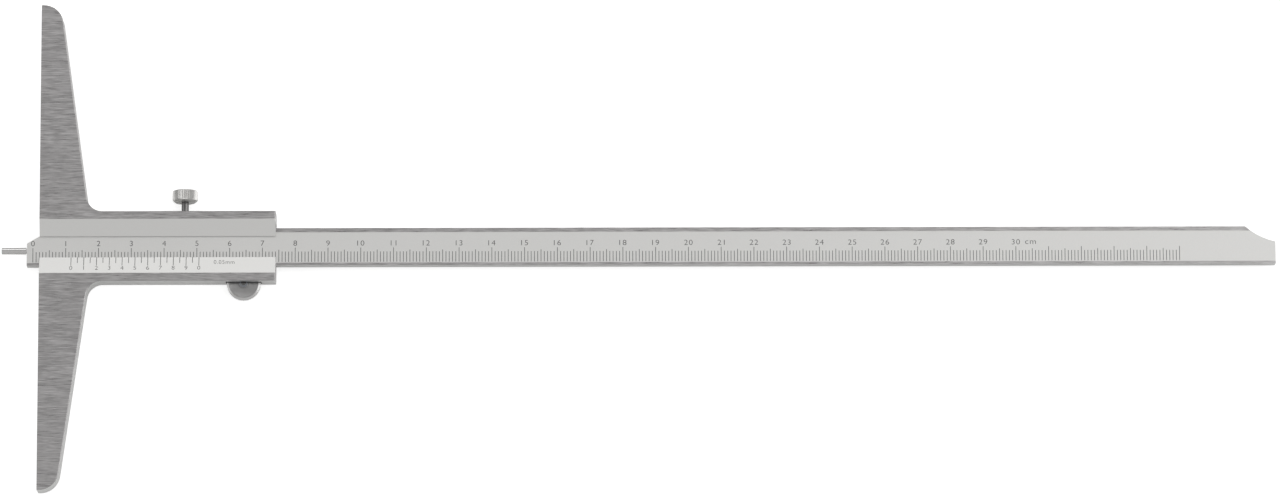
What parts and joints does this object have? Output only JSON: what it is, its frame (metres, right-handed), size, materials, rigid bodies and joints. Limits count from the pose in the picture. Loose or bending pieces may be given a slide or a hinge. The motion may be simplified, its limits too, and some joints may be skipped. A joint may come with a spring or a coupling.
{
  "type": "vernier depth gauge",
  "caption": "Steel vernier depth gauge with a wide bridge, a sliding graduated beam with a measuring pin, a lock screw and a thumb wheel.",
  "frame": {"origin": "middle of the bridge's measuring face, on the back of the bridge on which the gauge rests", "axes": "+X along the beam from the pin towards the tail, +Y across the beam towards the lock screw, +Z out of the scale face"},
  "size_m": [0.389, 0.15, 0.008],
  "materials": {
    "ground_steel": "surface ground stainless steel",
    "scale_steel": "satin scale face between ground guide strips, stainless steel",
    "hardened_pin": "polished hardened steel",
    "knob_steel": "knurled and plated steel",
    "wheel_steel": "turned and knurled steel",
    "spring_steel": "rolled spring steel",
    "screw_steel": "turned steel",
    "bronze": "milled bronze"
  },
  "bodies": {
    "bridge": {"bridge_body": "ground_steel", "gib_set_screws": "screw_steel", "wheel_carrier": "spring_steel", "wheel_carrier_pin": "screw_steel", "wheel_axle": "screw_steel", "wheel_spring": "spring_steel"},
    "beam": {"scale_beam": "scale_steel", "measuring_pin": "hardened_pin", "tail_stop_screw": "screw_steel"},
    "gib": {"gib_strip": "bronze"},
    "lock_screw": {"lock_screw_knob": "knob_steel", "lock_screw_stud": "screw_steel"},
    "wheel": {"thumb_wheel": "wheel_steel"}
  },
  "joints": [
    {"name": "beam_slide", "type": "slide", "parent": "bridge", "child": "beam", "axis": [-1, 0, 0], "range_m": [-0.0117, 0.2883]},
    {"name": "wheel_spin", "type": "hinge", "parent": "bridge", "child": "wheel", "pos_m": [0.0622, -0.01099, 0.0033], "axis": [0, 0, 1], "range_deg": [-130, 3178]},
    {"name": "lock_turn", "type": "hinge", "parent": "gib", "child": "lock_screw", "pos_m": [0.0442, 0.0155, 0.00395], "axis": [0, -1, 0], "range_deg": [0, 90.5]},
    {"name": "gib_clamp", "type": "slide", "parent": "bridge", "child": "gib", "axis": [0, -1, 0], "range_m": [0, 0.0001125]}
  ],
  "couplings": [
    {"joint": "wheel_spin", "follows": "beam_slide", "rad_per_m": 192.31},
    {"joint": "lock_turn", "follows": "gib_clamp", "rad_per_m": 13963}
  ]
}
